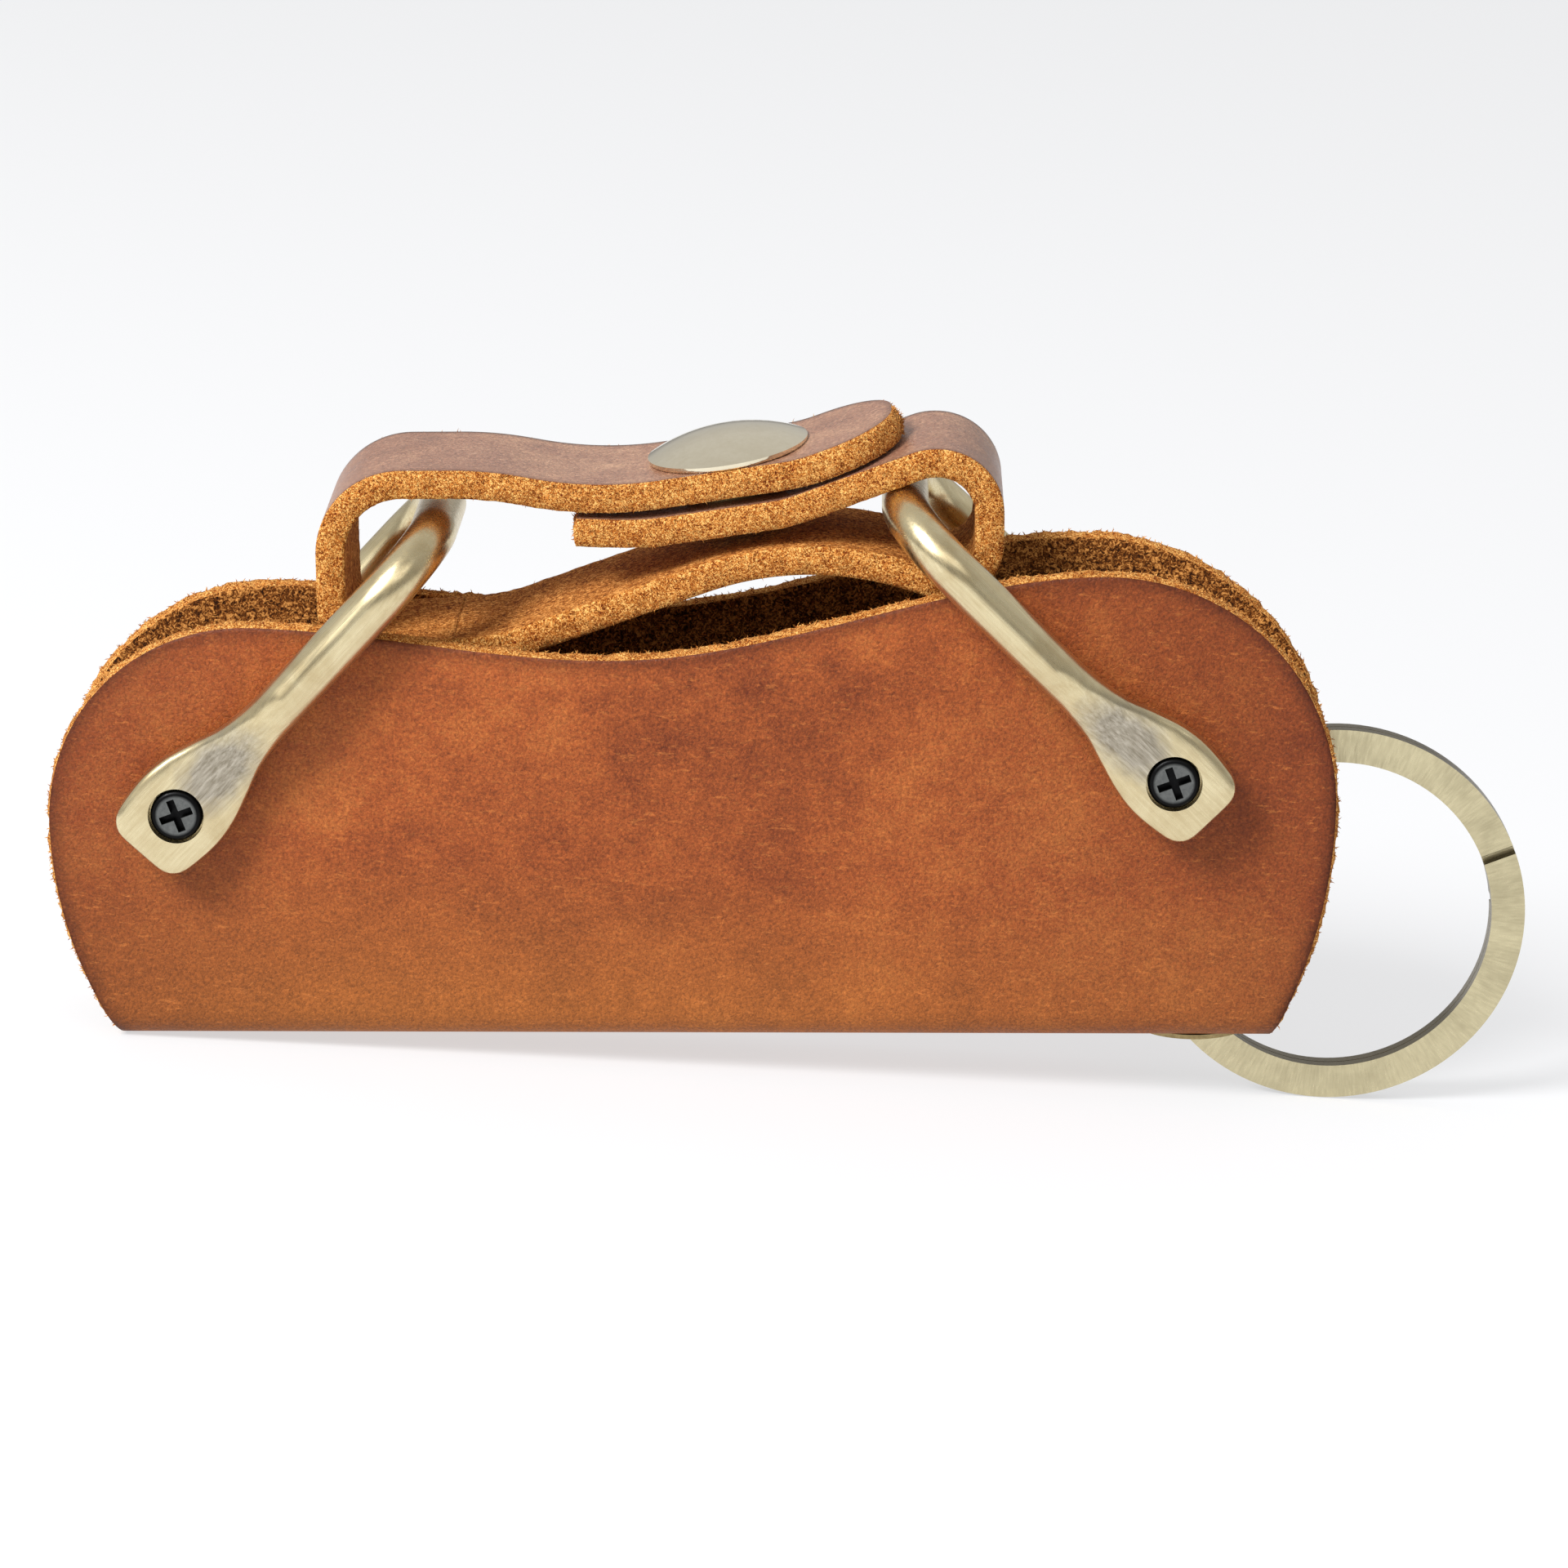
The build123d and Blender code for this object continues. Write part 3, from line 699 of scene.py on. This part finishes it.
def strap_piece(name, start, stop, seed):
    sheet = strap_sheet(start, stop)
    sheet.normal_update()
    sheet.faces.ensure_lookup_table()
    face = sheet.faces[len(sheet.faces) // 2]
    spot = face.calc_center_median()
    centres = [place(*lean_forward(p.x, 0, p.y)) for p in strap_line]
    middle = min(centres, key=lambda p: (p - spot).length)
    if (spot - middle).dot(face.normal) < 0:
        bmesh.ops.reverse_faces(sheet, faces=sheet.faces)
    edge = [v.co.copy() for v in sheet.verts if v.is_boundary]
    cuts = thicken(sheet, STRAP_THICKNESS, seed)
    add_fibres(sheet, cuts, LOOSE_FIBRES, seed)
    return finish_leather(sheet, name, HIDE["strap"], nearness_to(edge, STRAP_EDGE_REACH))


def length_at(u, v):
    """Length along the strap of its point nearest to a place."""
    goal = Vector((u, v))
    return min(range(2001), key=lambda k: (strap_at(k / 2000) - goal).length) / 2000 * strap_length


# %% Make the strap's two pieces
PART_PLACE = (LEFT_BAR.x + 1.5, LEFT_BAR.y - 9.1)
SEAM = 0.1
parting = length_at(*PART_PLACE)
band = strap_piece("strap_band_leather", 0, parting - SEAM, seed=21)
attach(band, "strap")
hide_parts("strap_band")

TAB_HINGE = 36.0
tab = strap_piece("strap_tab_leather", parting, strap_length, seed=23)
hinge = strap_at(length_at(TAB_HINGE, LEFT_BAR.y + 3.0) / strap_length)
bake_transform(tab)
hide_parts("strap_tab")
print("the band is parted", round(parting, 1), "mm from its tail")

# %% [markdown]
# ## Metal finishes
# The bows, cap, ring and eyelet are solid or plated brass with a clear, slightly worn finish. The
# cap's, ring's and eyelet's shapes are right in the frame, so they stay and only get a finish, and the
# bows are drawn again below. A brushed finish has fine scratches along the way it was rubbed, which
# stretch a noise one way, and a darker patina left in low places.

# %% Brass and steel


def metal(name, base, patina, roughness, where_of, streak_mm, wear=0.35, bump=0.15, side_shade=0.0,
          rub=None):
    """A metal finish. where_of gives the coordinates whose noise makes the brushing, the side shade
    argument is how dark a painted shade makes the faces that don't look along Y, and rub gives a
    share of bare, greyer metal."""
    material, tree, shader = blank(name)
    where = object_place(tree)
    streaks = speckle(tree, where_of(tree, where), streak_mm, 3, 0.65)
    stains = speckle(tree, where, 3.5, 4, 0.6, 0.5)
    shade = mixed(tree, spread(tree, stains, 0.42, 0.75, 0.0, wear), base, patina)
    shade = mixed(tree, spread(tree, streaks, 0.35, 0.8, 0.0, wear * 0.8), shade, patina)
    # painted shade: faces that don't look to the front or back are darkened towards the patina colour
    if side_shade:
        normal = add(tree, "TexCoord").outputs["Normal"]
        facing = add(tree, "SeparateXYZ", {"Vector": normal}).outputs["Y"]
        side_shade_mask = spread(tree, sums(tree, "ABSOLUTE", facing), 0.75, 0.35, 0.0, side_shade)
        shade = mixed(tree, side_shade_mask, shade, patina, "MULTIPLY")
    if rub:
        bare = mixed(tree, spread(tree, streaks, 0.3, 0.7), RUBBED_LIGHT, RUBBED_DARK)
        shade = mixed(tree, rub(tree, where), shade, bare)
    tree.links.new(shade, shader.inputs["Base Color"])
    shader.inputs["Metallic"].default_value = 1.0
    rough = spread(tree, streaks, 0.25, 0.75, roughness * 0.75, roughness * 1.3)
    tree.links.new(rough, shader.inputs["Roughness"])
    height = sums(tree, "ADD", sums(tree, "MULTIPLY", streaks, 0.6), sums(tree, "MULTIPLY", stains, 0.4))
    relief = add(tree, "Bump", {"Strength": bump, "Distance": 0.00006, "Height": height})
    tree.links.new(relief.outputs["Normal"], shader.inputs["Normal"])
    return material


def moved(tree, where, middle):
    """Coordinates with their zero at a place of the object."""
    return add(tree, "Mapping", {"Vector": where, "Location": tuple(-middle)}).outputs[0]


def from_axis(tree, x, z):
    """Distance from an axis along Y."""
    squares = sums(tree, "ADD", sums(tree, "MULTIPLY", x, x), sums(tree, "MULTIPLY", z, z))
    return sums(tree, "SQRT", squares)


def along_arm(tree, where, angle):
    """Coordinates whose X runs along an arm that stands at an angle, in degrees."""
    return add(tree, "Mapping", {"Vector": where, "Rotation": (0, math.radians(angle), 0)}).outputs[0]


def brushed_along(angle):
    def where_of(tree, where):
        arm = along_arm(tree, where, angle)
        return add(tree, "Mapping", {"Vector": arm, "Scale": (0.06, 1, 1)}).outputs[0]
    return where_of


def brushed_round(middle):
    """Coordinates whose noise makes short strokes across a ring round an axis along Y."""
    def where_of(tree, where):
        x, y, z = add(tree, "SeparateXYZ", {"Vector": moved(tree, where, middle)}).outputs[:3]
        reach = sums(tree, "MULTIPLY", from_axis(tree, x, z), 0.12)
        turn = sums(tree, "MULTIPLY", sums(tree, "ARCTAN2", z, x), 0.012)
        return add(tree, "CombineXYZ", {"X": reach, "Y": y, "Z": turn}).outputs[0]
    return where_of


def rubbed_paddle(post, angle):
    """A share of bare metal that is full beside the screw, up the arm, and fades to the rims."""
    def share(tree, where):
        arm = along_arm(tree, moved(tree, where, post), angle)
        spot = add(tree, "Mapping", {"Vector": arm, "Location": (-0.95, 0, 0),
                                     "Scale": (1 / (5.2 * MM), 0, 1 / (2.6 * MM))}).outputs[0]
        reach = add(tree, "VectorMath", {0: spot}, operation="LENGTH").outputs["Value"]
        ragged = sums(tree, "ADD", reach, sums(tree, "MULTIPLY", speckle(tree, where, 1.2, 4), 0.5))
        return spread(tree, ragged, 0.75, 1.35, 0.85, 0.0)
    return share


def unbrushed(tree, where):
    return where


RUBBED_LIGHT, RUBBED_DARK = colour(190, 183, 171), colour(120, 113, 102)
BRASS, PATINA = colour(230, 216, 176), colour(158, 124, 62)
LEFT_BOW_ANGLE, RIGHT_BOW_ANGLE = 47.0, 44.9
ARM_ANGLE = {"left": LEFT_BOW_ANGLE + math.degrees(lean),
             "right": 180 - RIGHT_BOW_ANGLE + math.degrees(lean)}
bow_brass = {
    side: metal(f"{side}_bow_brass", BRASS, PATINA, 0.27, brushed_along(ARM_ANGLE[side]), 0.22,
                rub=rubbed_paddle(centre(f"{side}_key_post"), ARM_ANGLE[side]))
    for side in ("left", "right")
}

# %% [markdown]
# ## The bows
# Each bow was forged from one brass rod: round over the crossbar, flattened into a paddle at both
# ends and drilled for its screws. So it is drawn as one tube: a ring of points is extruded from one
# paddle's end, up a leg, over the corner and down the other leg, and each ring takes its width,
# thickness and squareness from a few stations. The screw seats are then bored out with a Boolean.

# %% Stations of a bow
ROD, LEG_HALF, ARM, BOW_CORNER = 3.6, 10.65, 28.9, 6.0
PADDLE_END, PADDLE_THICKNESS = 4.2, 2.4
PADDLE_MIDDLE = 8.75
# distance from the post, distance of the middle from the cover's middle, width, thickness, squareness
STATIONS = [
    (-PADDLE_END, PADDLE_MIDDLE, 6.5, PADDLE_THICKNESS, 6.0),
    (-1.6, PADDLE_MIDDLE, 7.4, PADDLE_THICKNESS, 6.0),
    (0.6, PADDLE_MIDDLE, 7.7, PADDLE_THICKNESS, 6.0),
    (2.6, PADDLE_MIDDLE, 7.2, PADDLE_THICKNESS, 5.2),
    (4.8, PADDLE_MIDDLE + 0.22, 5.9, 2.55, 4.0), (7.2, PADDLE_MIDDLE + 0.75, 4.4, 3.0, 3.0),
    (10.0, 10.15, 3.7, 3.5, 2.2), (13.0, LEG_HALF, ROD, ROD, 2.0), (30.0, LEG_HALF, ROD, ROD, 2.0),
]
PADDLE_CORNER, EDGE_ROUND = 1.5, 0.5
AROUND = 40


def station(x):
    """The row of sizes at a distance from the post, on a smooth curve through the stations."""
    rows = STATIONS
    k = min(max(1, sum(row[0] <= x for row in rows)), len(rows) - 1)
    low, high = rows[k - 1], rows[k]
    before, after = rows[max(0, k - 2)], rows[min(len(rows) - 1, k + 1)]
    run = high[0] - low[0]
    t = (x - low[0]) / run
    sizes = []
    for i in range(1, 5):
        slope_in = (high[i] - before[i]) / (high[0] - before[0]) * run
        slope_out = (after[i] - low[i]) / (after[0] - low[0]) * run
        if (high[i] - low[i]) == 0:
            slope_in = slope_out = 0
        sizes.append(low[i] * (2 * t ** 3 - 3 * t * t + 1) + high[i] * (3 * t * t - 2 * t ** 3)
                     + slope_in * (t ** 3 - 2 * t * t + t) + slope_out * (t ** 3 - t * t))
    return sizes


def leg_rings():
    """Centre, outward way and sizes of each ring of the front half, from paddle to crossbar."""
    rings = []
    ends = [0.0, 0.04, 0.12, 0.25, 0.45, 0.7, 1.0, 1.5]
    leg_top = ARM - BOW_CORNER
    body = [ends[-1] + (leg_top + PADDLE_END - ends[-1]) * k / 90 for k in range(1, 91)]
    for run in ends + body:
        x = run - PADDLE_END
        off, width, thickness, square = station(x)
        if run < PADDLE_CORNER:
            width -= 2 * (PADDLE_CORNER - math.sqrt(PADDLE_CORNER ** 2 - (PADDLE_CORNER - run) ** 2))
        if run < EDGE_ROUND:
            thickness -= 2 * (EDGE_ROUND - math.sqrt(EDGE_ROUND ** 2 - (EDGE_ROUND - run) ** 2))
        ahead, behind = station(x + 0.1)[0], station(x - 0.1)[0]
        outward = Vector((ahead - behind, -0.2)).normalized()
        rings.append((Vector((x, -off)), outward, width, thickness, square))
    for k in range(1, 19):
        turn = math.pi / 2 * k / 18
        outward = Vector((math.sin(turn), -math.cos(turn)))
        middle = Vector((leg_top, BOW_CORNER - LEG_HALF)) + outward * BOW_CORNER
        rings.append((middle, outward, ROD, ROD, 2.0))
    across = LEG_HALF - BOW_CORNER
    for k in range(1, 9):
        rings.append((Vector((ARM, across * (k / 8 - 1))), Vector((1, 0)), ROD, ROD, 2.0))
    return rings


# %% Extrude the bows and bore their screw seats
SEAT_RADIUS, SEAT_DEPTH, SHANK_HOLE = 2.15, 1.35, 1.55
PADDLE_FACE = PADDLE_MIDDLE + PADDLE_THICKNESS / 2
SHARP = math.radians(38)


def on_section(angle, width, thickness, square):
    """A point of a rounded section: 2 gives an ellipse, and more makes it squarer."""
    c, s = math.cos(angle), math.sin(angle)
    out = math.copysign(abs(c) ** (2 / square), c) * thickness / 2
    side = math.copysign(abs(s) ** (2 / square), s) * width / 2
    return out, side


def bore(target, low_y, high_y, radius, post):
    """Cut a round hole along Y out of the piece."""
    drill = bmesh.new()
    bmesh.ops.create_cone(drill, cap_ends=True, segments=72, radius1=radius * MM, radius2=radius * MM,
                          depth=(high_y - low_y) * MM)
    bmesh.ops.rotate(drill, verts=drill.verts, matrix=Matrix.Rotation(math.pi / 2, 3, "X"))
    bmesh.ops.translate(drill, verts=drill.verts, vec=post + Vector((0, (low_y + high_y) / 2 * MM, 0)))
    mesh = bpy.data.meshes.new("drill")
    drill.to_mesh(mesh)
    drill.free()
    tool = bpy.data.objects.new("drill", mesh)
    bpy.context.scene.collection.objects.link(tool)
    cut = target.modifiers.new("bore", "BOOLEAN")
    cut.operation, cut.object, cut.solver = "DIFFERENCE", tool, "EXACT"
    bpy.context.view_layer.update()
    done = bpy.data.meshes.new_from_object(target.evaluated_get(bpy.context.evaluated_depsgraph_get()))
    target.modifiers.clear()
    target.data = done
    bpy.data.objects.remove(tool)


def bow(side):
    post = centre(f"{side}_key_post")
    angle = math.radians(ARM_ANGLE[side])
    arm_way = Vector((math.cos(angle), 0, math.sin(angle)))
    side_way = Vector((-math.sin(angle), 0, math.cos(angle)))
    half = leg_rings()
    back_half = [(Vector((m.x, -m.y)), Vector((o.x, -o.y)), w, t, q) for m, o, w, t, q in half[-2::-1]]
    tube = bmesh.new()
    ring = bmesh.ops.create_circle(tube, segments=AROUND, radius=MM)["verts"]
    first = ring
    for number, (middle, outward, width, thickness, square) in enumerate(half + back_half):
        if number:
            edges = [e for e in dict.fromkeys(e for v in ring for e in v.link_edges)
                     if e.verts[0] in ring_set and e.verts[1] in ring_set]
            made = bmesh.ops.extrude_edge_only(tube, edges=edges)["geom"]
            fresh = {v for v in made if isinstance(v, bmesh.types.BMVert)}
            ring = [next(e.other_vert(v) for e in v.link_edges if e.other_vert(v) in fresh) for v in ring]
        ring_set = set(ring)
        for k, vert in enumerate(ring):
            out, across = on_section(math.tau * (k + 0.5) / AROUND, width, thickness, square)
            spot = middle + outward * out
            vert.co = post + (arm_way * spot.x + side_way * across) * MM + Vector((0, spot.y * MM, 0))
    tube.faces.new(first)
    tube.faces.new(ring)
    bmesh.ops.recalc_face_normals(tube, faces=tube.faces)
    mesh = bpy.data.meshes.new(f"{side}_brass_bow")
    tube.to_mesh(mesh)
    tube.free()
    made = bpy.data.objects.new(f"{side}_brass_bow", mesh)
    bpy.context.scene.collection.objects.link(made)
    bore(made, -2 * PADDLE_FACE, 2 * PADDLE_FACE, SHANK_HOLE, post)
    for way in (-1, 1):
        ends = sorted((way * (PADDLE_FACE - SEAT_DEPTH), way * 2 * PADDLE_FACE))
        bore(made, *ends, SEAT_RADIUS, post)
    tidy = bmesh.new()
    tidy.from_mesh(made.data)
    for face in tidy.faces:
        face.smooth = True
    for edge in tidy.edges:
        edge.smooth = len(edge.link_faces) == 2 and edge.calc_face_angle() < SHARP
    tidy.to_mesh(made.data)
    tidy.free()
    made.data.materials.clear()
    made.data.materials.append(bow_brass[side])
    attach(made, f"{side}_shackle")
    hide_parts(f"{side}_bow")
    print(made.name, "has", len(made.data.polygons), "faces")


for side in ("left", "right"):
    bow(side)

# %% [markdown]
# ## The rest of the metal
# The cap, the ring, the eyelet and the screws have the right shape in the frame already, so they
# only get a finish. The ring's side walls, the faces that don't look to the front or back, get a
# painted shade towards the patina colour. A screw is blackened, and its flat head is rubbed grey round
# the recess, but the flat's rim is left black as a painted shadow of the seat round the head.

# %% Finish the metal nodes


def give(name, material):
    """Put a finish on a CAD node, whose shape stays."""
    nodes[name].data.materials.clear()
    nodes[name].data.materials.append(material)


def screw_black(name, face_y, post):
    """Blackened steel, worn grey in the middle of the head's flat, which lies face_y from the middle;
    the flat's rim stays black as a painted shadow of the seat round the head.
    """
    material, tree, shader = blank(name)
    where = object_place(tree)
    x, y, z = add(tree, "SeparateXYZ", {"Vector": moved(tree, where, post)}).outputs[:3]
    flat = spread(tree, sums(tree, "ABSOLUTE", y), face_y - 0.22 * MM, face_y - 0.04 * MM)
    # past 1.4 to 1.62 mm from the axis the flat stays black: a painted shadow of the seat round the head
    inner = spread(tree, from_axis(tree, x, z), 1.62 * MM, 1.40 * MM)
    fine = speckle(tree, where, 0.25, 3, 0.6)
    worn = mixed(tree, fine, colour(70, 72, 72), colour(128, 130, 128))
    rubbed = sums(tree, "MULTIPLY", flat, inner)
    tree.links.new(mixed(tree, rubbed, colour(16, 16, 17), worn), shader.inputs["Base Color"])
    shader.inputs["Metallic"].default_value = 0.85
    tree.links.new(spread(tree, fine, 0.3, 0.7, 0.28, 0.46), shader.inputs["Roughness"])
    return material


screw_face = -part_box("left_front_screw")[0].y
cap_brass = metal("cap_brass", colour(240, 230, 204), colour(160, 130, 70), 0.08, unbrushed, 0.5,
                  wear=0.12)
ring_brass = metal("ring_brass", colour(214, 203, 166), colour(92, 80, 54), 0.30,
                   brushed_round(centre("key_ring")), 0.16, wear=0.26, side_shade=0.85)
dull_brass = metal("eyelet_brass", colour(176, 156, 112), colour(84, 66, 40), 0.38, unbrushed, 0.3,
                   wear=0.5)
give("snap_cap", cap_brass)
give("key_ring", ring_brass)
for name in ("eyelet", "eyelet_washer", "snap_socket", "snap_stud", "snap_rivet"):
    give(name, dull_brass)
steel = metal("post_steel", colour(170, 170, 172), colour(96, 94, 92), 0.30, unbrushed, 0.3,
              wear=0.4)
for side in ("left", "right"):
    black = screw_black(f"{side}_screw_steel", screw_face, centre(f"{side}_key_post"))
    for end in ("front", "back"):
        give(f"{side}_{end}_screw", black)
    give(f"{side}_key_post", steel)
    give(f"{side}_inner_washers", steel)
    give(f"{side}_outer_washers", dull_brass)
print("screw heads end", round(screw_face / MM, 2), "mm from the middle")
